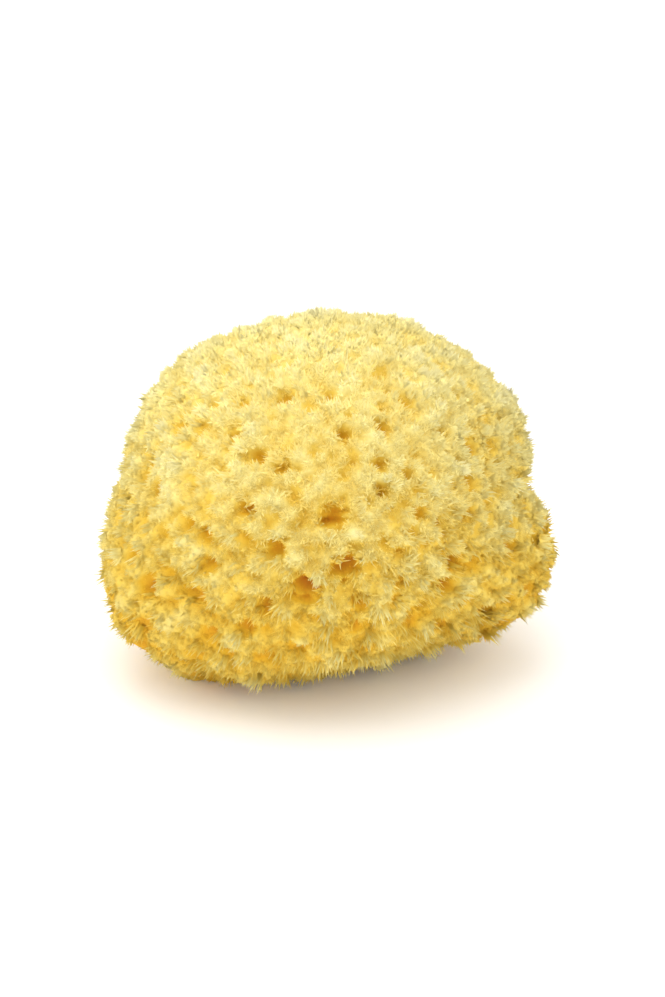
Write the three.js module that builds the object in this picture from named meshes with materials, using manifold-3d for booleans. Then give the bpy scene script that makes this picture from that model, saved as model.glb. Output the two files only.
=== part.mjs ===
// A natural bath sponge: one lump of springy sponge skeleton, grown in one piece and cut off its rock.
// Its skin is a close crowd of tufts, with the mouths of its water channels sunk between them.
// Units are millimetres. +Z is up, +X is to the viewer's right and +Y is away from the viewer.
// The origin is on the ground, under the middle of the lump.

import * as THREE from "three";
import { ConvexHull } from "three/addons/math/ConvexHull.js";
import { mergeVertices } from "three/addons/utils/BufferGeometryUtils.js";
import Module from "manifold-3d";

// Driving dimensions of the lump, measured to the tips of its tufts
const HALF_WIDTH = 60;
const HALF_DEPTH = 58;
const HALF_HEIGHT = 57;
const FOOT_BELOW_MIDDLE = 50; // the cut, which makes the flat foot

// The viewer looks down on the lump by this angle. The seen holes and swells are laid out on that view.
const VIEW_TILT = THREE.MathUtils.degToRad(25);

// Broad swells, and dents where the rise is negative, as bell shapes on the lump.
// Each is placed by how far it lies across, up and towards the viewer from the middle.
const SWELLS = [
  { at: [-0.84, -0.53, 0.1], rise: 16.5, spread: 32 }, // lobe at the lower left
  { at: [0.93, -0.37, 0.0], rise: 11.5, spread: 20 }, // lobe at the lower right
  { at: [-0.89, -0.45, 0.1], rise: 2.2, spread: 13 }, // edge of the left lobe
  { at: [0.96, -0.27, 0.0], rise: 6, spread: 10 }, // edge of the right lobe
  { at: [0.8, -0.6, 0.0], rise: 3.5, spread: 10 }, // underside of the right lobe
  { at: [1.0, 0.02, 0.0], rise: -3, spread: 9 }, // notch above the right lobe
  { at: [0.95, 0.31, 0.0], rise: 2.2, spread: 11 }, // bulge above the notch
  { at: [-0.96, 0.24, 0.0], rise: -2.4, spread: 15 }, // flat on the left side
  { at: [0.2, -0.98, 0.0], rise: -6, spread: 30 }, // undercut to the right of the foot
  { at: [-0.86, 0.5, 0.0], rise: 5, spread: 25 }, // left shoulder
  { at: [0.82, 0.57, 0.1], rise: 4.5, spread: 22 }, // right shoulder
  { at: [-0.33, 0.94, 0.0], rise: -2.2, spread: 13 }, // flat on the left of the crown
  { at: [0.74, 0.67, 0.0], rise: -0.8, spread: 12 }, // flat over the right shoulder
  { at: [-0.1, -0.5, 0.86], rise: 3, spread: 26 }, // brow over the front
  { at: [0.62, -0.36, 0.68], rise: -6, spread: 14 }, // hollow inside the right lobe
  { at: [0.68, 0.26, 0.66], rise: -3.5, spread: 12 }, // groove under the right shoulder
  { at: [-0.3, -0.75, 0.58], rise: 3, spread: 16 }, // fold above the foot, on the left
  { at: [0.1, 0.62, -0.78], rise: 4, spread: 30 }, // crown, behind the seen edge
  { at: [-0.55, -0.1, -0.83], rise: 5, spread: 30 }, // back lobe, on the left
  { at: [0.5, 0.2, -0.84], rise: -3, spread: 22 }, // back hollow
  { at: [0.55, -0.6, -0.6], rise: 4, spread: 24 }, // back lobe, low on the right
  { at: [0.0, -0.85, -0.5], rise: 5, spread: 34 }, // foot
];
const WAVE_LENGTH = 30; // the skin rolls gently between the swells
const WAVE_RISE = 0.9;

// Tufts
const TUFT_SPACING = 6;
const TUFT_HEIGHT = 3.6;
const TUFT_UNEVEN = 0.9; // a tuft may stand this much higher or lower
const TUFT_WANDER = 0.3; // of the spacing, off an even layout
const CLOSEST_TUFTS = 0.62; // of the spacing, the least that two tufts keep apart
const RIM_WIDTH = 1; // of skin between a hole and the tips of the tufts round it
const RIM_CROWDING = 0.82; // of the spacing, how closely those tufts stand
const MIN_RIM_TUFTS = 5;

// Mouths of the water channels on the side that the viewer sees: [across, up, mouth, depth],
// from the middle
const SEEN_HOLES = [
  [2, 51, 4, 8],
  [-12.5, 40.5, 4, 7],
  [16, 39.5, 5, 8],
  [35, 41, 5, 7],
  [-12.5, 31, 6, 11],
  [0.5, 31, 4.5, 8],
  [23.5, 30, 5, 9],
  [38, 31.5, 4, 7],
  [-26, 29.5, 4.5, 8],
  [-34.5, 29, 4, 7],
  [-45, 22.5, 5, 9],
  [-38.5, 22, 4.5, 8],
  [-27.5, 20, 5.5, 10],
  [-20, 18, 4, 9],
  [4.5, 20, 4.5, 9],
  [16.5, 22, 5, 10],
  [34.5, 20, 4, 8],
  [50, 17, 5, 8],
  [42, 16, 6.5, 9],
  [-22, 13, 6, 10],
  [-4, 14.5, 3.5, 7],
  [7, 12.5, 3.5, 7],
  [-14.5, 9.5, 4, 8],
  [15.5, 11, 5, 9],
  [24, 8.5, 4, 8],
  [43, 5, 6, 9],
  [-51.5, 3.5, 5.5, 8],
  [-25, -3, 6, 11],
  [16.5, 2.5, 4.5, 8],
  [1.5, -5.5, 8, 15],
  [28.5, -4, 4, 10],
  [33.5, -6.5, 3.5, 8],
  [43.5, -4, 4.5, 10],
  [49, -6.5, 3.5, 7],
  [-37, -10.5, 4, 8],
  [-15.5, -14.5, 6, 11],
  [56, -15, 6, 9],
  [-36.5, -20, 4.5, 10],
  [5.5, -20.5, 8.5, 15],
  [38, -19, 6, 12],
  [21.5, -25, 3.5, 9],
  [-7, -28, 9, 16],
  [-55, -26.5, 6, 10],
  [36, -26, 5, 11],
  [10, -31.5, 4.5, 11],
  [-19, -33, 4.5, 12],
  [-25.5, -39.5, 5.5, 12],
  [8.5, -39, 3.5, 9],
  [-20.5, -48.5, 4.5, 8],
  [-31, -47, 4, 8],
];
const WIDE_MOUTH = 5.5; // a mouth this wide has a floor as well as walls
const FLOOR_SHARE = 0.42; // of the mouth, the width of that floor
const FLOOR_CORNERS = 5;
const WALL_SHARE = 0.7; // of the depth, how far down a hole's walls meet the tufts round it

// The other sides have like holes, spread by a spiral
const SPREAD_HOLES = 125;
const SPREAD_MOUTHS = [3.8, 7.2];
const SPREAD_DEPTHS = [8, 13];
const SEEN_SIDE = 0.2; // how squarely a place faces the viewer before it counts as seen
const HOLE_GAP = 3.4; // of skin between two holes

const SPONGE_COLOUR = 0xf0d678;

const GOLDEN_ANGLE = Math.PI * (3 - Math.sqrt(5));

// A number from 0 to 1 that looks random and is the same each time.
function chance(index, stream) {
  const wave = Math.sin(index * 12.9898 + stream * 78.233) * 43758.5453;
  return wave - Math.floor(wave);
}

function between(range, share) {
  return THREE.MathUtils.lerp(range[0], range[1], share);
}

// A direction given across, up and towards the viewer, as a direction of the part.
function fromView(across, up, towards) {
  const cos = Math.cos(VIEW_TILT);
  const sin = Math.sin(VIEW_TILT);
  return new THREE.Vector3(across, up * sin - towards * cos, up * cos + towards * sin);
}

// Point number index of count on a spiral that covers the unit sphere evenly.
function onSpiral(index, count) {
  const height = 1 - (2 * (index + 0.5)) / count;
  const ring = Math.sqrt(1 - height * height);
  const turn = index * GOLDEN_ANGLE;
  return new THREE.Vector3(ring * Math.cos(turn), ring * Math.sin(turn), height);
}

const swells = SWELLS.map(({ at, rise, spread }) => ({
  direction: fromView(...at).normalize(),
  rise,
  spread: THREE.MathUtils.degToRad(spread),
}));

// How far the tuft tips stand from the middle, in a given direction.
function reach(direction) {
  const { x, y, z } = direction;
  const oval = 1 / Math.hypot(x / HALF_WIDTH, y / HALF_DEPTH, z / HALF_HEIGHT);
  const swell = swells.reduce((sum, { direction: at, rise, spread }) => {
    const spreads = direction.angleTo(at) / spread;
    return sum + rise * Math.exp(-spreads * spreads);
  }, 0);
  const turns = (2 * Math.PI * HALF_WIDTH) / WAVE_LENGTH;
  const wave =
    Math.sin(turns * x + 1.3) * Math.sin(turns * y + 0.4) +
    Math.sin(turns * z + 2.1) * Math.sin(turns * (x - y) * 0.7);
  return oval + swell + WAVE_RISE * wave;
}

// The direction from the middle to the skin that the viewer sees at a place across and up.
function seenAt(across, up) {
  const place = fromView(across, up, 0);
  const towards = fromView(0, 0, 1);
  let inside = 0;
  let outside = HALF_WIDTH * 2;
  for (let step = 0; step < 24; step++) {
    const half = (inside + outside) / 2;
    const point = place.clone().addScaledVector(towards, half);
    if (point.length() < reach(point.clone().normalize())) inside = half;
    else outside = half;
  }
  return place.addScaledVector(towards, inside).normalize();
}

// Distance along the skin between two directions, near enough for close neighbours.
function apart(a, b) {
  return a.angleTo(b) * reach(b);
}

function seenHoles() {
  return SEEN_HOLES.map(([across, up, mouth, depth]) => ({
    direction: seenAt(across, up),
    radius: mouth / 2,
    depth,
  }));
}

function spreadHoles(taken) {
  const towards = fromView(0, 0, 1);
  const holes = [...taken];
  for (let index = 0; index < SPREAD_HOLES; index++) {
    const direction = onSpiral(index, SPREAD_HOLES);
    direction.x += 0.07 * (chance(index, 1) - 0.5);
    direction.y += 0.07 * (chance(index, 2) - 0.5);
    direction.normalize();
    const radius = between(SPREAD_MOUTHS, chance(index, 3) ** 2) / 2;
    const depth = between(SPREAD_DEPTHS, chance(index, 4));
    const seen = direction.dot(towards) > SEEN_SIDE;
    const crowded = holes.some(
      (hole) => apart(direction, hole.direction) < radius + hole.radius + HOLE_GAP,
    );
    if (!seen && !crowded) holes.push({ direction, radius, depth });
  }
  return holes;
}

// Directions on a ring round a hole's middle, the given distance out along the skin.
function ringRound({ direction }, distance, count, turn = 0) {
  const side = new THREE.Vector3(0, 0, 1).cross(direction).normalize();
  const angle = distance / reach(direction);
  return Array.from({ length: count }, (_, step) =>
    direction
      .clone()
      .applyAxisAngle(side, angle)
      .applyAxisAngle(direction, turn + (step * 2 * Math.PI) / count),
  );
}

// The floor of a hole: one point in a narrow hole, and a small flat ring in a wide one.
function floorOf(hole) {
  const wide = hole.radius * 2 >= WIDE_MOUTH;
  const distance = reach(hole.direction) - hole.depth;
  const places = wide ? ringRound(hole, hole.radius * FLOOR_SHARE, FLOOR_CORNERS) : [hole.direction];
  return places.map((direction) => ({ direction, distance, hole }));
}

// The tufts that stand round the mouth of a hole.
function rimTufts(hole, index) {
  const out = hole.radius + RIM_WIDTH;
  const count = Math.max(MIN_RIM_TUFTS, Math.round((2 * Math.PI * out) / (TUFT_SPACING * RIM_CROWDING)));
  return ringRound(hole, out, count, 2 * Math.PI * chance(index, 9));
}

// The tufts of the open skin, spread evenly and then nudged.
function fieldTufts() {
  const area = 4 * Math.PI * HALF_WIDTH * HALF_DEPTH;
  const count = Math.round(area / (TUFT_SPACING ** 2 * Math.sin(Math.PI / 3)));
  const wander = (2 * TUFT_WANDER * TUFT_SPACING) / HALF_WIDTH;
  return Array.from({ length: count }, (_, index) => {
    const nudge = [5, 6, 7].map((stream) => wander * (chance(index, stream) - 0.5));
    return onSpiral(index, count).add(new THREE.Vector3(...nudge)).normalize();
  });
}

// Every apex of the skin, as a direction and a distance from the middle: the floors of the holes
// and the tips of the tufts.
function apexes(holes) {
  const tips = [];
  for (const direction of [...holes.flatMap(rimTufts), ...fieldTufts()]) {
    const distance = reach(direction);
    const near = (other, gap) => direction.angleTo(other.direction) * distance < gap;
    const inHole = holes.some((hole) => near(hole, hole.radius + RIM_WIDTH * 0.9));
    const crowded = tips.some((tip) => near(tip, TUFT_SPACING * CLOSEST_TUFTS));
    const uneven = TUFT_UNEVEN * (2 * chance(tips.length, 8) - 1);
    if (!inHole && !crowded) tips.push({ direction, distance: distance + uneven, hole: null });
  }
  return [...holes.flatMap(floorOf), ...tips];
}

// How far from the middle the skin lies between three neighbouring apexes.
function valleyBetween(corners, direction) {
  const floors = corners.filter(({ hole }) => hole);
  if (floors.length === 0) return reach(direction) - TUFT_HEIGHT;
  const floor = Math.min(...floors.map(({ distance }) => distance));
  const share = floors.length === corners.length ? 1 : WALL_SHARE;
  return THREE.MathUtils.lerp(reach(direction), floor, share);
}

// The skin: every point is the apex of its own small pyramid, and the pyramids meet along the
// valleys between them.
function skinGeometry(points) {
  const vertices = points.map(({ direction, distance }) => direction.clone().multiplyScalar(distance));
  const numbers = new Map();
  const onSphere = points.map(({ direction }, index) => {
    const place = direction.clone();
    numbers.set(place, index);
    return place;
  });
  const { faces } = new ConvexHull().setFromPoints(onSphere);
  const valleyOf = new Map();
  for (const face of faces) {
    const corners = [face.getEdge(0), face.getEdge(1), face.getEdge(2)].map(
      (edge) => points[numbers.get(edge.head().point)],
    );
    const direction = new THREE.Vector3();
    corners.forEach((corner) => direction.add(corner.direction));
    direction.normalize();
    valleyOf.set(face, vertices.length);
    vertices.push(direction.clone().multiplyScalar(valleyBetween(corners, direction)));
  }
  const triangles = [];
  for (const face of faces) {
    for (let side = 0; side < 3; side++) {
      const edge = face.getEdge(side);
      const apex = numbers.get(edge.tail().point);
      triangles.push(apex, valleyOf.get(edge.twin.face), valleyOf.get(face));
    }
  }
  const geometry = new THREE.BufferGeometry().setFromPoints(vertices);
  return geometry.setIndex(triangles);
}

function toSolid(wasm, geometry) {
  const bare = geometry.clone();
  bare.deleteAttribute("normal");
  bare.deleteAttribute("uv");
  const merged = mergeVertices(bare);
  return new wasm.Manifold(
    new wasm.Mesh({
      numProp: 3,
      vertProperties: new Float32Array(merged.attributes.position.array),
      triVerts: new Uint32Array(merged.index.array),
    }),
  );
}

function toGeometry(solid) {
  const { vertProperties, triVerts } = solid.getMesh();
  return new THREE.BufferGeometry()
    .setAttribute("position", new THREE.BufferAttribute(vertProperties, 3))
    .setIndex(new THREE.BufferAttribute(triVerts, 1));
}

// The block that is cut away under the lump, which leaves the flat foot.
function rockGeometry() {
  const side = 4 * HALF_WIDTH;
  return new THREE.BoxGeometry(side, side, side).translate(0, 0, -FOOT_BELOW_MIDDLE - side / 2);
}

// Puts the foot on the ground and the middle of the box over the origin.
function standOnOrigin(geometry) {
  geometry.computeBoundingBox();
  const middle = geometry.boundingBox.getCenter(new THREE.Vector3());
  return geometry.translate(-middle.x, -middle.y, FOOT_BELOW_MIDDLE);
}

const wasm = await Module();
wasm.setup();

const skin = toSolid(wasm, skinGeometry(apexes(spreadHoles(seenHoles()))));
const cut = skin.subtract(toSolid(wasm, rockGeometry()));

const material = new THREE.MeshStandardMaterial({
  color: SPONGE_COLOUR,
  roughness: 0.95,
  metalness: 0,
});
const sponge = new THREE.Mesh(standOnOrigin(toGeometry(cut)), material);
sponge.name = "sponge";

const part = new THREE.Group();
part.add(sponge);

export default part;
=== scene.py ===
"""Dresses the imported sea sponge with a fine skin, and with the fibres that grow on it.

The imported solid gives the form: how far the sponge reaches each way, and where its holes are.
Sizes inside the classes are in millimetres, and a mesh is turned to metres as it is made.
"""

from __future__ import annotations

import logging
import math
from dataclasses import dataclass, field
from enum import Enum, IntEnum

import bmesh
import bpy
import numpy as np
from mathutils import Matrix, Vector, kdtree

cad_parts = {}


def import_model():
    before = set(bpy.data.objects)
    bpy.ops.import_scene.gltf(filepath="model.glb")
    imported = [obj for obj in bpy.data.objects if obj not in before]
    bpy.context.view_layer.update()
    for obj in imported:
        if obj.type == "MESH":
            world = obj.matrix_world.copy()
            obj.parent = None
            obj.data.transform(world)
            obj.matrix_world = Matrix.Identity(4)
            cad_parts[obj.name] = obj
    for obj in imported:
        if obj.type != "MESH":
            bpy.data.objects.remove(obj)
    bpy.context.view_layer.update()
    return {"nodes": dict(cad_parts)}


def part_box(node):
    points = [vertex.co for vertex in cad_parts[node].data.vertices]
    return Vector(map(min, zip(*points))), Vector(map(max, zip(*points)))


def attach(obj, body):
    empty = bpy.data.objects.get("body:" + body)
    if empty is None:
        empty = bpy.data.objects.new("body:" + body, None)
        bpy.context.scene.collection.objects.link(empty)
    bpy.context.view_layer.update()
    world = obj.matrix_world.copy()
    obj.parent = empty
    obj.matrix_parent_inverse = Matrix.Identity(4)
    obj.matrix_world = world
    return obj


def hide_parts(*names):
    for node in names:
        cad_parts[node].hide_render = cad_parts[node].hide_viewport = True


log = logging.getLogger("sponge")

MM = 0.001
FULL_TURN = 2 * math.pi
GOLDEN_ANGLE = math.pi * (3 - math.sqrt(5))
SHADE_DEPTH = "depth"  # how deep a point looks below the tips of the tufts, in millimetres: the material paints shade by it
TINT = "tint"  # the attribute for a point's own shade, from 0 to 1
RIPPLE_WAVES = 7
RIPPLE_LENGTHS = (0.7, 1.4)  # of the length asked for, from the shortest wave to the longest
RIPPLE_SUM = math.sqrt(1.6 * RIPPLE_WAVES)  # what the waves seldom add up to more than
ROWS_AT_ONCE = 4096  # of a long list, so that its tables stay small
ASKEW = (0.31, 0.17, 0.93)  # a direction that no tuft points in exactly


class Pattern(IntEnum):
    """The seeds of the uneven patterns: each has its own, so none follows another."""

    ROLL = 2
    GRAIN = 3
    FINE_GRAIN = 4
    MOTTLE = 5
    MOUTH_EDGE = 6
    CELLS = 8
    FINE_CELLS = 9
    CRUMPLE = 12
    BEND = 30  # and the two numbers after it, for the other two directions


class Draws(IntEnum):
    """The seeds of the random draws."""

    CLUMPS = 20
    TUFTS = 21
    PITS = 22
    COVER = 23
    PIECES = 30  # and the numbers after it, one for each joined piece


def unit(vectors: np.ndarray) -> np.ndarray:
    """Scales rows to length one."""
    return vectors / np.maximum(np.linalg.norm(vectors, axis=-1, keepdims=True), 1e-9)


def on_spiral(count: int) -> np.ndarray:
    """Spreads directions evenly over a sphere.

    Args:
        count: How many directions.

    Returns:
        The directions, one a row.
    """
    index = np.arange(count)
    height = 1 - 2 * (index + 0.5) / count
    ring = np.sqrt(1 - height**2)
    turn = index * GOLDEN_ANGLE
    return np.stack([ring * np.cos(turn), ring * np.sin(turn), height], axis=1)


def scatter(spacing: float, size: float, wander: float, rng: np.random.Generator) -> np.ndarray:
    """Spreads directions over a ball, nearly evenly.

    Args:
        spacing: Between neighbours, in millimetres.
        size: The ball's radius.
        wander: How far each lies off its even place, as a share of the spacing.
        rng: Draws that wander.

    Returns:
        The directions, one a row.
    """
    count = round(4 * math.pi * size**2 / (spacing**2 * math.sin(math.pi / 3)))
    directions = on_spiral(count)
    return unit(directions + rng.normal(size=directions.shape) * wander * spacing / size)


def ripple(points: np.ndarray, wave_length: float, seed: int) -> np.ndarray:
    """Gives a smooth uneven value to each point, by crossing waves that don't line up.

    Args:
        points: Places in millimetres, one a row.
        wave_length: The size of the unevenness in millimetres.
        seed: Picks one pattern.

    Returns:
        A value from about -1 to 1 for each point.
    """
    rng = np.random.default_rng(seed)
    total = np.zeros(len(points))
    for _ in range(RIPPLE_WAVES):
        way = unit(rng.normal(size=3)) * FULL_TURN / (wave_length * rng.uniform(*RIPPLE_LENGTHS))
        total += np.sin(points @ way + rng.uniform(0, FULL_TURN))
    return total / RIPPLE_SUM


def tree_of(points: np.ndarray) -> kdtree.KDTree:
    """Builds a search tree.

    Args:
        points: The places to search, one a row.

    Returns:
        The tree, which knows each place by its row.
    """
    tree = kdtree.KDTree(len(points))
    for index, point in enumerate(points):
        tree.insert(point, index)
    tree.balance()
    return tree


def nearest(tree: kdtree.KDTree, points: np.ndarray) -> tuple[np.ndarray, np.ndarray]:
    """Finds the closest point of a tree for each point.

    Args:
        tree: The tree to search.
        points: Places, one a row.

    Returns:
        The number of the closest point, and the distance to it, for each row.
    """
    found = [tree.find(point)[1:] for point in points]
    return np.array([f[0] for f in found]), np.array([f[1] for f in found])


def add_object(name: str, data: bpy.types.ID) -> bpy.types.Object:
    """Puts a mesh, a light or a camera into the scene.

    Args:
        name: The object's name.
        data: What the object shows.

    Returns:
        The new object, at the origin.
    """
    added = bpy.data.objects.new(name, data)
    bpy.context.scene.collection.objects.link(added)
    return added


def read_rows(mesh: bpy.types.Mesh, name: str) -> np.ndarray:
    """Reads a vector of every vertex.

    Args:
        mesh: The mesh to read.
        name: Which vector, "co" or "normal".

    Returns:
        The vectors, one a row.
    """
    flat = np.empty(len(mesh.vertices) * 3)
    mesh.vertices.foreach_get(name, flat)
    return flat.reshape(-1, 3)


def move_vertices(mesh: bpy.types.Mesh, points: np.ndarray) -> None:
    """Moves the vertices of a mesh to places in millimetres, one a row."""
    mesh.vertices.foreach_set("co", (points * MM).astype(np.float32).ravel())


def shade_smooth(mesh: bpy.types.Mesh) -> None:
    """Shades every face of a mesh smoothly."""
    mesh.polygons.foreach_set("use_smooth", np.ones(len(mesh.polygons), dtype=bool))


def joined_mesh(name: str, vertices: np.ndarray, triangles: np.ndarray) -> bpy.types.Mesh:
    """Makes one mesh of many joined copies.

    Args:
        name: The mesh's name.
        vertices: Places in millimetres, one a row.
        triangles: Three vertex numbers a row.

    Returns:
        The new mesh, smooth shaded.
    """
    mesh = bpy.data.meshes.new(name)
    mesh.vertices.add(len(vertices))
    move_vertices(mesh, vertices)
    mesh.loops.add(triangles.size)
    mesh.loops.foreach_set("vertex_index", triangles.astype(np.int32).ravel())
    mesh.polygons.add(len(triangles))
    mesh.polygons.foreach_set("loop_start", np.arange(0, triangles.size, 3, dtype=np.int32))
    mesh.update(calc_edges=True)
    shade_smooth(mesh)
    mesh.validate()
    return mesh


def soften(mesh: bpy.types.Mesh, form: np.ndarray, share: float) -> None:
    """Shades a mesh partly as the form it lies on, as light that spreads from fibre to fibre does.

    Args:
        mesh: The mesh that gets new normals.
        form: Which way the form faces, one row for each vertex.
        share: How much more the form counts than the mesh's own faces.
    """
    own = read_rows(mesh, "normal")
    mesh.normals_split_custom_set_from_vertices(unit(form * share + own))


def write_values(piece: bpy.types.Object, name: str, values: np.ndarray) -> None:
    """Stores one number for each vertex of a piece."""
    attribute = piece.data.attributes.new(name, "FLOAT", "POINT")
    attribute.data.foreach_set("value", values.astype(np.float32))


@dataclass
class Hole:
    """The mouth of one water channel, or of a small pit."""

    direction: np.ndarray
    radius: float
    depth: float

    def gap_to(self, other: Hole, reach: float) -> float:
        """Measures the skin between this mouth and another one.

        Args:
            other: The other mouth.
            reach: How far the skin is from the middle.

        Returns:
            The least width of that skin, below 0 where the mouths overlap.
        """
        apart = math.acos(np.clip(self.direction @ other.direction, -1, 1)) * reach
        return apart - self.radius - other.radius


@dataclass
class Form:
    """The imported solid, read for its reach and its holes."""

    node: bpy.types.Object
    middle_share: float = 0.46  # of the height, where the middle lies
    blur: float = 0.085  # radians over which the tips are averaged
    proud: float = 1.0  # that the finest points stand above the averaged tips
    foot_layer: float = 0.5  # above the ground, below which a vertex belongs to the cut foot
    deepest_valley: float = 6.2  # below the tips, between the solid's tufts: what is deeper is a hole
    floor_step: float = 0.3  # by which the vertices of one floor may differ
    rim: float = 1.0  # from the edge of a hole to the tips of the solid's tufts round it
    widest: float = 0.36  # of its depth, the radius of the widest hole
    crown_share: float = 0.6  # how steeply up a direction has to point to be on the crown
    middle: np.ndarray = field(init=False)
    tips: np.ndarray = field(init=False)
    tip_reach: np.ndarray = field(init=False)
    holes: list[Hole] = field(init=False)

    def __post_init__(self) -> None:
        """Reads the solid's vertices and sorts them into tips and hole floors."""
        low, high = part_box(self.node.name)
        self.middle = np.array([(low.x + high.x) / 2, (low.y + high.y) / 2, high.z * self.middle_share]) / MM
        solid = bmesh.new()
        solid.from_mesh(self.node.data)
        bmesh.ops.remove_doubles(solid, verts=solid.verts, dist=1e-6)
        points = np.array([v.co for v in solid.verts]) / MM - self.middle
        links = [[e.other_vert(v).index for e in v.link_edges] for v in solid.verts]
        solid.free()
        reach = np.linalg.norm(points, axis=1)
        above_ground = points[:, 2] > self.foot_layer - self.middle[2]
        tip = np.array([above_ground[i] and reach[i] > reach[near].max() for i, near in enumerate(links)])
        self.tips, self.tip_reach = unit(points[tip]), reach[tip]
        self.holes = self._find_holes(points, reach, links, tip)

    def _find_holes(
        self, points: np.ndarray, reach: np.ndarray, links: list[list[int]], tip: np.ndarray
    ) -> list[Hole]:
        """Groups the lowest vertices into floors, and measures each mouth by the tips round it.

        Args:
            points: The solid's vertices, from the middle.
            reach: How far each is from the middle.
            links: The neighbours of each.
            tip: Which of them are tips of tufts.

        Returns:
            The solid's holes.
        """
        directions = unit(points)
        depth = self.reach(directions) - reach
        floor = [
            depth[i] > self.deepest_valley and all(reach[n] > reach[i] - self.floor_step for n in near)
            for i, near in enumerate(links)
        ]
        holes = []
        for group in self._groups(floor, links):
            direction = unit(directions[group].mean(axis=0))
            walls = {n for at in group for n in links[at]}
            round_it = [n for n in {m for wall in walls for m in links[wall]} if tip[n]]
            if round_it:
                angles = np.arccos(np.clip(directions[round_it] @ direction, -1, 1))
                deep = float(depth[group].mean())
                radius = min(np.sort(angles * reach[round_it])[:2].mean() - self.rim, self.widest * deep)
                holes.append(Hole(direction, float(radius), deep))
        return holes

    @staticmethod
    def _groups(floor: list[bool], links: list[list[int]]) -> list[list[int]]:
        """Gathers the floor vertices that touch.

        Args:
            floor: Which vertices are on a floor.
            links: The neighbours of each vertex.

        Returns:
            The vertices of each floor.
        """
        groups, seen = [], set()
        for start in np.flatnonzero(floor):
            if start in seen:
                continue
            group, queue = [], [start]
            while queue:
                at = queue.pop()
                if at not in seen and floor[at]:
                    seen.add(at)
                    group.append(at)
                    queue += links[at]
            groups.append(group)
        return groups

    @property
    def size(self) -> float:
        """How far the tips stand from the middle, on average."""
        return float(self.tip_reach.mean())

    def lowness(self, directions: np.ndarray) -> np.ndarray:
        """Tells how near the foot the skin is: 1 there and below, and 0 on the crown."""
        return np.clip(self.crown_share - directions[:, 2], 0, 1)

    def reach(self, directions: np.ndarray) -> np.ndarray:
        """Tells how far the tips of the tufts stand from the middle.

        Args:
            directions: Unit vectors, one a row.

        Returns:
            The distance in millimetres for each row, before the ground cuts it.
        """
        result = np.empty(len(directions))
        for start in range(0, len(directions), ROWS_AT_ONCE):
            part = directions[start : start + ROWS_AT_ONCE]
            weight = np.exp((part @ self.tips.T - 1) / self.blur**2)
            result[start : start + ROWS_AT_ONCE] = weight @ self.tip_reach / weight.sum(axis=1)
        return result + self.proud

    def ground(self, directions: np.ndarray) -> np.ndarray:
        """Tells how far the ground is from the middle, and a long way where it is never met."""
        down = np.maximum(-directions[:, 2], 1e-3)
        return self.middle[2] / down


@dataclass
class Mouths:
    """Every opening in the skin: the form's own holes, and the smaller pits between them."""

    form: Form
    pit_spacing: float = 7.2
    wander: float = 0.3  # of the spacing, off an even layout
    pit_radius: tuple[float, float] = (1.4, 3.0)
    finer: float = 0.35  # by how much narrower the pits are on the crown
    pit_slope: float = 3.4  # of a pit's depth to its radius
    gap: float = 1.7  # of skin between two mouths
    ragged: float = 0.3  # of a mouth's radius, how uneven its edge is
    ragged_length: float = 3.0
    holes: list[Hole] = field(init=False)

    def __post_init__(self) -> None:
        """Lays the pits out between the holes."""
        rng = np.random.default_rng(Draws.PITS)
        size = self.form.size
        directions = scatter(self.pit_spacing, size, self.wander, rng)
        coarseness = 1 - self.finer * (1 - self.form.lowness(directions))
        self.holes = list(self.form.holes)
        for direction, share in zip(directions, coarseness):
            radius = rng.uniform(*self.pit_radius) * share
            pit = Hole(direction, radius, radius * self.pit_slope)
            if all(pit.gap_to(other, size) > self.gap for other in self.holes):
                self.holes.append(pit)

    def edges(self, directions: np.ndarray) -> tuple[np.ndarray, np.ndarray]:
        """Measures how far skin is from the nearest mouth.

        Args:
            directions: Unit vectors, one a row.

        Returns:
            The number of that mouth, and the distance from its edge in millimetres, below 0 inside it.
        """
        ways = np.array([hole.direction for hole in self.holes])
        radii = np.array([hole.radius for hole in self.holes])
        index, edge = np.empty(len(directions), dtype=int), np.empty(len(directions))
        for start in range(0, len(directions), ROWS_AT_ONCE):
            part = slice(start, start + ROWS_AT_ONCE)
            chord = np.sqrt(np.maximum(2 - 2 * directions[part] @ ways.T, 0)) * self.form.size
            beyond = chord - radii
            index[part] = beyond.argmin(axis=1)
            edge[part] = beyond.min(axis=1)
        uneven = ripple(directions * self.form.size, self.ragged_length, Pattern.MOUTH_EDGE)
        return index, edge + self.ragged * radii[index] * uneven


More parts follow.
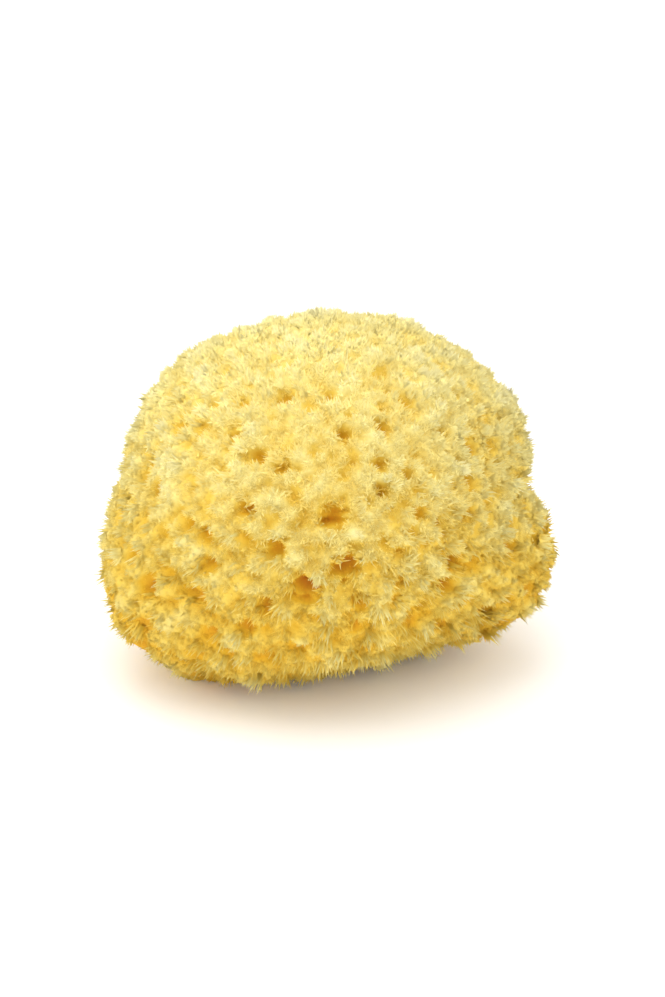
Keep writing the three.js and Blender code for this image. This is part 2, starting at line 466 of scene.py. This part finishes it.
@dataclass
class Clumps:
    """The tufts stand in clumps, each a low cushion with a groove round it."""

    form: Form
    spacing: float = 9.0
    wander: float = 0.35  # of the spacing, off an even layout
    groove: float = 0.62  # of the spacing, from the middle of a clump to its groove
    rise: float = 1.0  # from the groove to the top of the cushion
    top: float = 0.4  # of that rise, how much lies above the form
    roll: float = 0.9  # that the ground rolls up and down from clump to clump
    roll_length: float = 17.0
    crumple: float = 1.0  # that it is uneven from tuft to tuft
    crumple_length: float = 6.5
    places: np.ndarray = field(init=False)
    tree: kdtree.KDTree = field(init=False)

    def __post_init__(self) -> None:
        """Lays the clumps out over the skin."""
        rng = np.random.default_rng(Draws.CLUMPS)
        directions = scatter(self.spacing, self.form.size, self.wander, rng)
        self.places = directions * self.form.reach(directions)[:, None]
        self.tree = tree_of(self.places)

    def at(self, points: np.ndarray) -> tuple[np.ndarray, np.ndarray]:
        """Measures where points lie in their clumps.

        Args:
            points: Places from the middle in millimetres, one a row.

        Returns:
            How far the cushion rises, and the way out from the clump's middle, for each row.
        """
        clump, away = nearest(self.tree, points)
        share = np.clip(away / (self.spacing * self.groove), 0, 1)
        rolling = self.roll * ripple(points, self.roll_length, Pattern.ROLL)
        rolling += self.crumple * ripple(points, self.crumple_length, Pattern.CRUMPLE)
        return (self.top - share**2) * self.rise + rolling, (points - self.places[clump]) / self.spacing


@dataclass
class Layout:
    """Where the tufts stand, which way they point and how large they are."""

    form: Form
    mouths: Mouths
    clumps: Clumps
    spacing: float = 3.1  # the least between two tufts on the crown
    coarser: float = 0.6  # by how much more they are apart near the foot, and as much larger
    search: float = 1.0  # between the places that are tried
    search_wander: float = 0.3  # of that, off an even layout
    shuffle: float = 0.4  # that one place may be farther from a mouth than another and still come after it
    rim: float = 1.1  # the least from the edge of a mouth, on the crown
    full_height: float = 1.9  # from that edge, where a tuft stands to its full height
    stoop: float = 1.3  # by which it is lower at the edge
    lean_out: float = 0.2  # of a clump's outer tufts, away from its middle
    lean_any: float = 0.16
    uneven: float = 0.5
    own_size: tuple[float, float] = (0.8, 1.15)
    sunk: float = 1.2  # how far below the ground a tip may fall before its tuft is left out
    directions: np.ndarray = field(init=False)
    axes: np.ndarray = field(init=False)
    tip_reach: np.ndarray = field(init=False)
    sizes: np.ndarray = field(init=False)

    def __post_init__(self) -> None:
        """Stands the tufts on the ridges between the mouths."""
        rng = np.random.default_rng(Draws.TUFTS)
        directions, edge = self._crests(rng)
        reach = self.form.reach(directions)
        cushion, out = self.clumps.at(directions * reach[:, None])
        lean = out * self.lean_out + rng.normal(size=directions.shape) * self.lean_any
        lower = self.stoop * np.clip(1 - edge / self.full_height, 0, 1)
        self.directions = directions
        self.axes = unit(directions + lean)
        self.tip_reach = reach + cushion - lower + rng.normal(size=len(reach)) * self.uneven
        self.sizes = rng.uniform(*self.own_size, size=len(reach)) * self._coarseness(directions)
        self._keep(self.form.ground(directions) >= self.tip_reach - self.sunk)

    def _coarseness(self, directions: np.ndarray) -> np.ndarray:
        """Tells how many times coarser the tufts are than on the crown."""
        return 1 + self.coarser * self.form.lowness(directions)

    def _keep(self, kept: np.ndarray) -> None:
        """Leaves only some of the tufts."""
        self.directions, self.axes = self.directions[kept], self.axes[kept]
        self.tip_reach, self.sizes = self.tip_reach[kept], self.sizes[kept]

    def _crests(self, rng: np.random.Generator) -> tuple[np.ndarray, np.ndarray]:
        """Takes the places farthest from every mouth first, then fills in as closely as tufts may stand.

        Args:
            rng: Draws the small differences between the places that are tried.

        Returns:
            The direction of each tuft, and how far it is from the edge of the nearest mouth.
        """
        tried = scatter(self.search, self.form.size, self.search_wander, rng)
        _, edge = self.mouths.edges(tried)
        tree = tree_of(tried * self.form.size)
        coarseness = self._coarseness(tried)
        free = edge > self.rim * coarseness
        room = self.spacing * coarseness
        order = np.argsort(-np.minimum(edge, self.full_height) + rng.uniform(0, self.shuffle, size=len(edge)))
        taken = []
        for place in order:
            if free[place]:
                taken.append(place)
                for _, near, _ in tree.find_range(tried[place] * self.form.size, room[place]):
                    free[near] = False
        return tried[taken], edge[taken]


@dataclass
class Skin:
    """The sponge's own surface, under and between the fibres, with its holes and pits."""

    form: Form
    mouths: Mouths
    clumps: Clumps
    roundings: int = 4  # of the ball that the skin starts from
    cuts: int = 11  # in each of its edges after that
    crest: tuple[float, float] = (2.6, 4.2)  # from the tips to the ridges, on the crown and near the foot
    bottom: float = 0.65  # of the depth of a hole, where the soft fibre on its floor starts
    dark: float = 0.85  # of that depth, from which the light comes back: the painted shade is drawn for it, deeper than the modelled floor
    least_drop: float = 1.0  # from the ridge to the floor of the shallowest pit
    shoulder: float = 2.6  # from the edge of a mouth to the ridge
    grain: float = 0.25
    grain_lengths: tuple[float, float] = (2.4, 1.2)
    mottle: float = 0.25
    mottle_length: float = 2.5
    softness: float = 0.9  # how much more the form counts than the skin's own slopes, in how it is shaded
    foot_edge: float = 0.5  # above the ground, where the skin turns into the flat foot
    cell_lengths: tuple[float, float] = (2.2, 1.1)  # of the cut cells in the foot
    fine_cells: float = 0.55  # how deep the smaller ones are, to the larger ones
    cell_walls: float = 0.15  # of a cell's depth, what is left flat
    cell_depth: float = 0.045  # of the way to the middle
    foot_depth: tuple[float, float] = (2.5, 5.0)  # that the foot looks, and that its cells look more: painted shade on the underside, darker in the cells

    def build(self) -> bpy.types.Object:
        """Makes the skin.

        Returns:
            The skin's object, with its depth and tint stored on it.
        """
        mesh = self._ball()
        directions = unit(read_rows(mesh, "co"))
        tips = self.form.reach(directions)
        sink, depth = self._sink(directions, tips)
        points = directions * (tips - sink)[:, None] + self.form.middle
        self._cut_foot(points, depth)
        move_vertices(mesh, points)
        shade_smooth(mesh)
        mesh.update()
        soften(mesh, np.where(points[:, 2:] > self.foot_edge, directions, 0.0), self.softness)
        piece = add_object("skin", mesh)
        write_values(piece, SHADE_DEPTH, depth)
        write_values(piece, TINT, 0.5 + self.mottle * ripple(points, self.mottle_length, Pattern.MOTTLE))
        return piece

    def _ball(self) -> bpy.types.Mesh:
        """Makes the fine ball that is drawn in to the form.

        Returns:
            The ball, of radius one.
        """
        ball = bmesh.new()
        bmesh.ops.create_icosphere(ball, subdivisions=self.roundings, radius=1.0)
        bmesh.ops.subdivide_edges(ball, edges=ball.edges, cuts=self.cuts, use_grid_fill=True)
        bmesh.ops.triangulate(ball, faces=ball.faces)
        mesh = bpy.data.meshes.new("skin")
        ball.to_mesh(mesh)
        ball.free()
        return mesh

    def _sink(self, directions: np.ndarray, tips: np.ndarray) -> tuple[np.ndarray, np.ndarray]:
        """Tells how far below the tips the skin lies, and how deep its painted shade makes it look.

        Args:
            directions: Unit vectors, one for each point of the skin.
            tips: How far the tips stand from the middle there.

        Returns:
            Both distances in millimetres, for each row.
        """
        places = directions * tips[:, None]
        cushion, _ = self.clumps.at(places)
        index, edge = self.mouths.edges(directions)
        radius = np.array([hole.radius for hole in self.mouths.holes])[index]
        floor = np.array([hole.depth for hole in self.mouths.holes])[index]
        crest = self.crest[0] + (self.crest[1] - self.crest[0]) * self.form.lowness(directions)
        hollow = (1 - np.clip((radius + edge) / (radius + self.shoulder), 0, 1) ** 2) ** 2
        coarse, fine = self.grain_lengths
        rough = ripple(places, coarse, Pattern.GRAIN) + ripple(places, fine, Pattern.FINE_GRAIN)
        rough = self.grain * rough - cushion
        sink = crest + np.maximum(floor * self.bottom - crest, self.least_drop) * hollow + rough
        # the depth that the painted shade is drawn for, deeper in the holes than the modelled floor
        depth = crest + np.maximum(floor * self.dark - crest, self.least_drop) * hollow + rough
        return sink, depth

    def _cut_foot(self, points: np.ndarray, depth: np.ndarray) -> None:
        """Cuts the skin flat along the ground, with shallow cells in the cut.

        Args:
            points: The skin's vertices in millimetres, of which those below the ground are moved.
            depth: How deep each looks for its painted shade, changed for the same ones.
        """
        below = points[:, 2] < 0
        from_middle = points[below] - self.form.middle
        scale = self.form.middle[2] / -from_middle[:, 2]
        coarse, fine = self.cell_lengths
        cells = ripple(points[below], coarse, Pattern.CELLS)
        cells = cells + self.fine_cells * ripple(points[below], fine, Pattern.FINE_CELLS)
        cells = np.clip(cells - self.cell_walls, 0, 1)
        scale *= 1 - self.cell_depth * cells
        points[below] = self.form.middle + from_middle * scale[:, None]
        # painted shade: the foot on the ground, and its cells more, are coloured as if deep
        depth[below] = self.foot_depth[0] + self.foot_depth[1] * cells


@dataclass(frozen=True)
class Brush:
    """A sprig of pointed fibres that stand close on a round patch, the outer ones leaning out."""

    count: int  # of fibres
    width: float  # from the middle of the patch to its edge
    lean: float  # of the outermost fibres, in radians
    radius: tuple[float, float]  # least and most, at the root of a fibre
    length: tuple[float, float]  # least and most, of a fibre in the middle
    corners: int = 3  # of a fibre's section
    shorter: float = 0.2  # by how much the outermost are shorter
    stray: float = 0.4  # that any of them may lean besides, in radians
    step: tuple[float, float] = (0.2, 0.8)  # of a fibre's share of the patch, where in it the fibre stands
    jog: float = 0.3  # off the spiral that they stand on, in radians
    twist: float = 2.0  # at most, about its own axis

    def build(self, rng: np.random.Generator) -> tuple[np.ndarray, np.ndarray]:
        """Makes the sprig at the origin, pointing up.

        Args:
            rng: Draws what differs from fibre to fibre.

        Returns:
            Its vertices in millimetres, and its triangles as vertex numbers.
        """
        solid = bmesh.new()
        start = rng.uniform(0, FULL_TURN)
        for index in range(self.count):
            self._add_fibre(solid, index, start, rng)
        bmesh.ops.remove_doubles(solid, verts=solid.verts, dist=1e-5)
        bmesh.ops.triangulate(solid, faces=solid.faces)
        bmesh.ops.recalc_face_normals(solid, faces=solid.faces)
        solid.verts.ensure_lookup_table()
        vertices = np.array([v.co for v in solid.verts])
        triangles = np.array([[v.index for v in face.verts] for face in solid.faces])
        solid.free()
        return vertices, triangles

    def _add_fibre(
        self, solid: bmesh.types.BMesh, index: int, start: float, rng: np.random.Generator
    ) -> None:
        """Stands one fibre on the patch.

        Args:
            solid: The mesh that gets the fibre.
            index: Its place in the spiral, from the middle out.
            start: Where the spiral starts, in radians.
            rng: Draws what is its own.
        """
        draw = rng.uniform
        out = math.sqrt((index + draw(*self.step)) / self.count)
        length = draw(*self.length) * (1 - self.shorter * out)
        place = (
            Matrix.Rotation(start + index * GOLDEN_ANGLE + draw(-self.jog, self.jog), 4, "Z")
            @ Matrix.Translation((self.width * out, 0, 0))
            @ Matrix.Rotation(self.lean * out + draw(-self.stray, self.stray), 4, "Y")
            @ Matrix.Rotation(draw(-self.stray, self.stray), 4, "X")
            @ Matrix.Translation((0, 0, length / 2))
            @ Matrix.Rotation(draw(0, self.twist), 4, "Z")
        )
        bmesh.ops.create_cone(
            solid,
            cap_ends=True,
            segments=self.corners,
            radius1=draw(*self.radius),
            radius2=0.0,
            depth=length,
            matrix=place,
        )


class Sprig(Enum):
    """The kinds of sprig that grow on the skin."""

    CROWN_TUFT = Brush(count=26, width=1.25, lean=0.22, radius=(0.22, 0.36), length=(2.9, 5.0))
    SIDE_TUFT = Brush(count=26, width=1.2, lean=0.26, radius=(0.28, 0.46), length=(2.6, 4.8))
    HAIR = Brush(count=8, width=1.3, lean=0.4, radius=(0.26, 0.44), length=(1.9, 3.1))
    FRAY = Brush(count=6, width=0.8, lean=0.6, radius=(0.3, 0.5), length=(1.2, 2.2))


@dataclass
class Stand:
    """The sprigs of one piece: each row of the arrays is one sprig."""

    name: str
    kind: Sprig
    roots: np.ndarray  # where each stands, from the middle
    axes: np.ndarray  # which way each points
    ground: np.ndarray  # which way the form under each faces
    sizes: np.ndarray


@dataclass
class Pile:
    """All the fibres on the skin, as a few joined meshes."""

    form: Form
    layout: Layout
    skin: bpy.types.Object
    shapes: int = 14  # different sprigs in a piece, each used many times over
    crown_share: float = 0.62  # how steeply up a tuft has to stand to belong to the crown's piece
    height: float = 4.7  # from a tuft's root, under the skin, to its tip
    lowest_root: float = 2.2  # of a tuft, above the ground
    cover_spacing: float = 1.65  # between the small sprigs: the hair and the frays
    cover_wander: float = 0.2  # of that, off an even layout
    cover_sizes: tuple[float, float] = (0.5, 0.85)
    cover_from: float = 1.2  # above the ground, where they start
    smaller: float = 0.3  # by how much smaller they are near the foot
    ridge: float = 1.2  # from the edge of a mouth, where the frays end and the hair starts
    shorn: float = 0.4  # how large the frays inside a mouth are, to those round it
    outward: float = 0.8  # how much they point straight out, to how much they stand off the slope
    cover_lean: float = 0.25
    slope_shows: float = 0.3  # of the skin's own slope, in how they are shaded
    bend: float = 0.35  # off its straight line, of any fibre
    bend_length: float = 3.0
    least_clearance: float = 0.12  # of the lowest fibre, above the ground
    crush_height: float = 1.8  # of the lowest layer, which the sponge's weight presses down
    softness: float = 6.0  # how much more the form counts than a fibre's own sides, in how it is shaded

    def build(self) -> list[bpy.types.Object]:
        """Makes every piece of the pile.

        Returns:
            The tufts of the crown and of each side, then the hair and the frays.
        """
        stands = self._tufts() + self._cover()
        return [self._join(stand, Draws.PIECES + number) for number, stand in enumerate(stands)]

    def _tufts(self) -> list[Stand]:
        """Stands the tufts on the crown and on each side.

        Returns:
            One stand for each piece.
        """
        way, axes, sizes = self.layout.directions, self.layout.axes, self.layout.sizes
        crown = way[:, 2] > self.crown_share
        front = way[:, 1] < 0
        left = way[:, 0] < 0
        roots = way * self.layout.tip_reach[:, None] - axes * (self.height * sizes)[:, None]
        free = roots[:, 2] + self.form.middle[2] > self.lowest_root
        regions = (
            ("crown_tufts", Sprig.CROWN_TUFT, crown),
            ("front_left_tufts", Sprig.SIDE_TUFT, ~crown & front & left),
            ("front_right_tufts", Sprig.SIDE_TUFT, ~crown & front & ~left),
            ("back_left_tufts", Sprig.SIDE_TUFT, ~crown & ~front & left),
            ("back_right_tufts", Sprig.SIDE_TUFT, ~crown & ~front & ~left),
        )
        stands = []
        for name, kind, holds in regions:
            kept = holds & free
            stands.append(Stand(name, kind, roots[kept], axes[kept], way[kept], sizes[kept]))
        return stands

    def _cover(self) -> list[Stand]:
        """Covers the ridges with hair, and the walls of the holes and pits with frays.

        Returns:
            One stand for each piece.
        """
        rng = np.random.default_rng(Draws.COVER)
        points = read_rows(self.skin.data, "co") / MM
        normals = read_rows(self.skin.data, "normal")
        places = scatter(self.cover_spacing, self.form.size, self.cover_wander, rng)
        spots, _ = nearest(tree_of(unit(points - self.form.middle)), places)
        _, edge = self.layout.mouths.edges(places)
        above = points[spots, 2] > self.cover_from
        ridge = edge > self.ridge
        front = points[spots, 1] < 0
        regions = (
            ("front_hair", Sprig.HAIR, above & ridge & front),
            ("back_hair", Sprig.HAIR, above & ridge & ~front),
            ("wall_frays", Sprig.FRAY, above & ~ridge),
        )
        stands = []
        for name, kind, holds in regions:
            slope = normals[spots[holds]]
            roots = points[spots[holds]] - self.form.middle
            out = unit(roots)
            axes = unit(slope + out * self.outward + rng.normal(size=roots.shape) * self.cover_lean)
            sizes = rng.uniform(*self.cover_sizes, size=len(roots))
            sizes *= 1 - self.smaller * self.form.lowness(out)
            sizes *= np.where(edge[holds] > 0, 1.0, self.shorn)
            stands.append(Stand(name, kind, roots, axes, unit(out + slope * self.slope_shows), sizes))
        return stands

    def _join(self, stand: Stand, seed: int) -> bpy.types.Object:
        """Copies a few sprigs to many places and joins them.

        Args:
            stand: The sprigs of the piece.
            seed: Of the piece's own random draws.

        Returns:
            The joined object, with its depth and tint stored on it.
        """
        rng = np.random.default_rng(seed)
        shapes = [stand.kind.value.build(rng) for _ in range(self.shapes)]
        choice = rng.integers(0, self.shapes, size=len(stand.roots))
        turn = rng.uniform(0, FULL_TURN, size=len(stand.roots))
        tint = rng.uniform(0, 1, size=len(stand.roots))
        vertices, triangles, depths, tints, faced = [], [], [], [], []
        first = 0
        for index, (shape, faces) in enumerate(shapes):
            mine = np.flatnonzero(choice == index)
            placed = self._place(shape, stand, mine, turn[mine])
            reach = np.repeat(self.form.reach(unit(stand.roots[mine])), len(shape))
            starts = first + np.arange(len(mine)) * len(shape)
            vertices.append(placed)
            triangles.append((faces[None] + starts[:, None, None]).reshape(-1, 3))
            # how deep each vertex lies below the tips, which the material paints as shade
            depths.append(reach - np.linalg.norm(placed, axis=1))
            tints.append(np.repeat(tint[mine], len(shape)))
            faced.append(np.repeat(stand.ground[mine], len(shape), axis=0))
            first += len(placed)
        points = self._crush(np.concatenate(vertices) + self.form.middle)
        mesh = joined_mesh(stand.name, points, np.concatenate(triangles))
        soften(mesh, np.concatenate(faced), self.softness)
        piece = add_object(stand.name, mesh)
        piece.visible_shadow = False  # the fibres are so fine that light passes between them
        write_values(piece, SHADE_DEPTH, np.concatenate(depths))
        write_values(piece, TINT, np.concatenate(tints))
        return piece

    def _place(self, shape: np.ndarray, stand: Stand, rows: np.ndarray, turn: np.ndarray) -> np.ndarray:
        """Puts copies of one sprig where they stand, and bends their fibres a little.

        Args:
            shape: The sprig's vertices, pointing up.
            stand: The sprigs of the piece.
            rows: Which of them have this shape.
            turn: How far each of those is turned about its own axis, in radians.

        Returns:
            The vertices of all the copies, from the middle, one a row.
        """
        axes = stand.axes[rows]
        side = unit(np.cross(axes, ASKEW))
        other = np.cross(axes, side)
        cos, sin = np.cos(turn)[:, None], np.sin(turn)[:, None]
        turns = np.stack([side * cos + other * sin, other * cos - side * sin, axes], axis=1)
        placed = np.einsum("vi,nij->nvj", shape, turns) * stand.sizes[rows, None, None]
        placed = (placed + stand.roots[rows, None]).reshape(-1, 3)
        bend = [ripple(placed, self.bend_length, Pattern.BEND + way) for way in range(3)]
        return placed + np.stack(bend, axis=1) * self.bend

    def _crush(self, points: np.ndarray) -> np.ndarray:
        """Presses what would pass into the ground flat upon it, more the lower it is.

        Args:
            points: Places in millimetres, one a row.

        Returns:
            The same places, with the lowest layer pressed together above the ground.
        """
        low = points[:, 2] < self.crush_height
        over = self.crush_height - points[low, 2]
        room = self.crush_height - self.least_clearance
        points[low, 2] = self.least_clearance + room * np.exp(-over / room)
        return points


def linear(colour: str) -> tuple[float, float, float, float]:
    """Turns an sRGB hex colour to linear light."""
    parts = [int(colour[i : i + 2], 16) / 255 for i in (1, 3, 5)]
    return tuple(c / 12.92 if c <= 0.04045 else ((c + 0.055) / 1.055) ** 2.4 for c in parts) + (1.0,)


def add_node(
    tree: bpy.types.NodeTree, kind: str, settings: dict | None = None, links: dict | None = None
) -> bpy.types.Node:
    """Adds a node with its settings and links.

    Args:
        tree: The material's nodes.
        kind: The node's type.
        settings: Properties by name, and input values by socket name.
        links: Sockets of other nodes, by the name or number of the input that each feeds.

    Returns:
        The new node.
    """
    node = tree.nodes.new(kind)
    for name, value in (settings or {}).items():
        if hasattr(node, name):
            setattr(node, name, value)
        else:
            node.inputs[name].default_value = value
    for name, socket in (links or {}).items():
        tree.links.new(socket, node.inputs[name])
    return node


@dataclass(frozen=True)
class Spongin:
    """Dried and bleached spongin, the horny fibre of a bath sponge.

    Its fibres are matt and let light through, so the tips look creamy, and light that has
    passed from fibre to fibre in a groove or a hole comes out a deep yellow, then orange.
    The material paints that light, and the shade of the grooves and holes, into its colour:
    a painted shade that deepens with how deep a point lies below the tips.
    """

    name: str
    relief: float  # how strongly the finest fibres show
    lightness: tuple[float, float] = (0.93, 1.05)  # from the darkest mottle to the lightest
    mottle: tuple[float, float] = (0.4, 1.6)  # least and most that a blotch and a tint add up to
    # painted shade by depth below the tips: cream at the tips, then deeper yellow and orange in grooves, pits
    # and holes
    shades: tuple[tuple[float, str], ...] = (
        (0.0, "#FFF2AE"),
        (1.2, "#FEED9A"),
        (2.5, "#FDE586"),
        (4.5, "#F9D55C"),
        (7.5, "#F2BE30"),
        (12.0, "#E8A624"),
        (20.0, "#D0742C"),
    )
    deepest: float = 20.0  # millimetres, where the last shade is
    low: float = 15.0  # millimetres above the ground, where the painted shade is strongest
    high: float = 100.0  # and weakest
    painted_low_shade: tuple[float, float] = (1.4, 0.75)  # times that a point looks deeper, low and high: painted shade, darker and warmer towards the bottom
    roughness: float = 0.9
    ior: float = 1.54  # of horny protein fibre
    specular: float = 0.2  # a dry fibre has hardly any shine
    fibre: float = 0.35  # millimetres between fibres: finer in life, and drawn this coarse to show
    fibre_height: float = 0.2  # millimetres
    blotch: float = 22.0  # millimetres across, where the bleach has taken more or less
    detail: float = 2.0  # finer layers in the fibre and in the blotches

    def material(self) -> bpy.types.Material:
        """Makes the material.

        Returns:
            The material, which reads the depth and the tint of the piece that has it.
        """
        material = bpy.data.materials.new(self.name)
        material.use_nodes = True
        tree = material.node_tree
        tree.nodes.clear()
        place = add_node(tree, "ShaderNodeTexCoord").outputs["Object"]
        colour = add_node(
            tree,
            "ShaderNodeHueSaturation",
            links={"Color": self._shade(tree, place), "Value": self._lightness(tree, place)},
        )
        shader = add_node(
            tree,
            "ShaderNodeBsdfPrincipled",
            {"Roughness": self.roughness, "IOR": self.ior, "Specular IOR Level": self.specular},
            {"Base Color": colour.outputs["Color"], "Normal": self._surface(tree, place)},
        )
        add_node(tree, "ShaderNodeOutputMaterial", links={"Surface": shader.outputs["BSDF"]})
        return material

    def _shade(self, tree: bpy.types.NodeTree, place: bpy.types.NodeSocket) -> bpy.types.NodeSocket:
        """Paints shade into the fibre's colour: deeper yellow, then orange, the deeper it lies below the
        tips, and darker and warmer the lower it stands.

        Args:
            tree: The material's nodes.
            place: The point's own place.

        Returns:
            The colour.
        """
        depth = add_node(tree, "ShaderNodeAttribute", {"attribute_name": SHADE_DEPTH})
        height = add_node(tree, "ShaderNodeSeparateXYZ", links={"Vector": place})
        # painted shade: the lower a point stands, the deeper it looks, and so the darker and warmer its
        # colour
        painted_low_shade = add_node(
            tree,
            "ShaderNodeMapRange",
            {
                "From Min": self.low * MM,
                "From Max": self.high * MM,
                "To Min": self.painted_low_shade[0],
                "To Max": self.painted_low_shade[1],
            },
            {"Value": height.outputs["Z"]},
        )
        total = add_node(
            tree,
            "ShaderNodeMath",
            {"operation": "MULTIPLY"},
            {0: depth.outputs["Fac"], 1: painted_low_shade.outputs["Result"]},
        )
        share = add_node(
            tree,
            "ShaderNodeMapRange",
            {"From Min": 0.0, "From Max": self.deepest},
            {"Value": total.outputs["Value"]},
        )
        shades = add_node(tree, "ShaderNodeValToRGB", links={"Fac": share.outputs["Result"]})
        ramp = shades.color_ramp
        while len(ramp.elements) < len(self.shades):
            ramp.elements.new(1.0)
        for element, (deep, colour) in zip(ramp.elements, self.shades):
            element.position = deep / self.deepest
            element.color = linear(colour)
        return shades.outputs["Color"]

    def _lightness(self, tree: bpy.types.NodeTree, place: bpy.types.NodeSocket) -> bpy.types.NodeSocket:
        """Makes some sprigs and some wider blotches lighter than others.

        Args:
            tree: The material's nodes.
            place: The point's own place.

        Returns:
            What the colour's lightness is multiplied by.
        """
        tint = add_node(tree, "ShaderNodeAttribute", {"attribute_name": TINT})
        blotches = add_node(
            tree,
            "ShaderNodeTexNoise",
            {"Scale": 1 / (self.blotch * MM), "Detail": self.detail},
            {"Vector": place},
        )
        mottle = add_node(
            tree,
            "ShaderNodeMath",
            {"operation": "ADD"},
            {0: blotches.outputs["Fac"], 1: tint.outputs["Fac"]},
        )
        lightness = add_node(
            tree,
            "ShaderNodeMapRange",
            {
                "From Min": self.mottle[0],
                "From Max": self.mottle[1],
                "To Min": self.lightness[0],
                "To Max": self.lightness[1],
            },
            {"Value": mottle.outputs["Value"]},
        )
        return lightness.outputs["Result"]

    def _surface(self, tree: bpy.types.NodeTree, place: bpy.types.NodeSocket) -> bpy.types.NodeSocket:
        """Roughens the surface with the finest fibres.

        Args:
            tree: The material's nodes.
            place: The point's own place.

        Returns:
            Which way the surface faces.
        """
        fibres = add_node(
            tree,
            "ShaderNodeTexNoise",
            {"Scale": 1 / (self.fibre * MM), "Detail": self.detail},
            {"Vector": place},
        )
        bump = add_node(
            tree,
            "ShaderNodeBump",
            {"Strength": self.relief, "Distance": self.fibre_height * MM},
            {"Height": fibres.outputs["Fac"]},
        )
        return bump.outputs["Normal"]


@dataclass(frozen=True)
class SoftBox:
    """A soft square light that faces the sponge."""

    name: str
    place: tuple[float, float, float]
    size: float
    power: float  # watts


@dataclass
class Studio:
    """The camera, lights and floor."""

    middle: np.ndarray
    tilt: float = 25.0  # degrees that the camera looks down
    distance: float = 1000.0
    seen_height: float = 300.0  # that the picture's long side takes in at the sponge
    aim_off: tuple[float, float, float] = (0.4, 0.0, 0.45)  # from the sponge's middle
    sensor: float = 36.0
    lights: tuple[SoftBox, ...] = (
        SoftBox("key_light", (-100.0, 20.0, 690.0), 600.0, 2.0),
        SoftBox("fill_light", (-100.0, -620.0, 240.0), 500.0, 0.6),
        SoftBox("right_light", (640.0, 60.0, 160.0), 500.0, 0.6),
        SoftBox("left_light", (-640.0, 60.0, 260.0), 500.0, 0.7),
    )
    room: str = "#FFFFFF"
    room_strength: float = 1.1
    floor_reach: float = 4000.0
    floor_colour: str = "#FBFBFA"
    floor_roughness: float = 0.9

    def build(self) -> None:
        """Sets up the camera, the lights, the room and the floor."""
        self._camera()
        for box in self.lights:
            self._light(box)
        self._room()
        self._floor()
        bpy.context.scene.view_settings.view_transform = "Standard"

    def _camera(self) -> None:
        """Looks at the sponge as the photograph does."""
        lens = bpy.data.cameras.new("camera")
        lens.sensor_width = self.sensor
        lens.lens = self.sensor * self.distance / self.seen_height
        camera = add_object("camera", lens)
        tilt = math.radians(self.tilt)
        back = Vector((0.0, -math.cos(tilt), math.sin(tilt)))
        aim = Vector(self.middle) + Vector(self.aim_off)
        camera.location = (aim + back * self.distance) * MM
        camera.rotation_euler = (-back).to_track_quat("-Z", "Y").to_euler()
        bpy.context.scene.camera = camera

    def _light(self, box: SoftBox) -> None:
        """Adds a light.

        Args:
            box: Where it stands, its size and its power.
        """
        light = bpy.data.lights.new(box.name, "AREA")
        light.energy = box.power
        light.size = box.size * MM
        lamp = add_object(box.name, light)
        lamp.location = Vector(box.place) * MM
        way = Vector(self.middle) * MM - lamp.location
        lamp.rotation_euler = way.to_track_quat("-Z", "Y").to_euler()

    def _room(self) -> None:
        """Surrounds the sponge with white."""
        world = bpy.data.worlds.new("studio")
        world.use_nodes = True
        background = world.node_tree.nodes["Background"]
        background.inputs["Color"].default_value = linear(self.room)
        background.inputs["Strength"].default_value = self.room_strength
        bpy.context.scene.world = world

    def _floor(self) -> None:
        """Lays a plain pale floor."""
        sheet = bmesh.new()
        bmesh.ops.create_grid(sheet, x_segments=1, y_segments=1, size=self.floor_reach * MM)
        mesh = bpy.data.meshes.new("floor")
        sheet.to_mesh(mesh)
        sheet.free()
        floor = add_object("floor", mesh)
        paint = bpy.data.materials.new("floor_paint")  # matt, so it shows only the soft shadow
        paint.use_nodes = True
        shader = paint.node_tree.nodes["Principled BSDF"]
        shader.inputs["Base Color"].default_value = linear(self.floor_colour)
        shader.inputs["Roughness"].default_value = self.floor_roughness
        mesh.materials.append(paint)


def main() -> None:
    """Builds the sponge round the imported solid, and the studio round the sponge."""
    logging.basicConfig(level=logging.INFO, format="%(name)s: %(message)s")
    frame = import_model()
    form = Form(frame["nodes"]["sponge"])
    log.info("%d tips and %d holes in the solid", len(form.tips), len(form.holes))
    mouths = Mouths(form)
    log.info("%d holes and pits", len(mouths.holes))
    clumps = Clumps(form)
    layout = Layout(form, mouths, clumps)
    log.info("%d tufts", len(layout.sizes))
    skin = Skin(form, mouths, clumps).build()
    pieces = [skin, *Pile(form, layout, skin).build()]
    felt = Spongin("spongin_felt_painted_shade", relief=1.0, lightness=(0.75, 0.9)).material()  # painted shade: the skin is drawn darker for the shadow of the fibres, which cast none
    fibres = Spongin("spongin_fibres", relief=0.0).material()
    for piece in pieces:
        piece.data.materials.append(felt if piece is skin else fibres)
        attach(piece, "root")
        log.info("%s: %d triangles", piece.name, len(piece.data.polygons))
    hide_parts("sponge")
    Studio(form.middle).build()


if __name__ == "__main__":
    main()
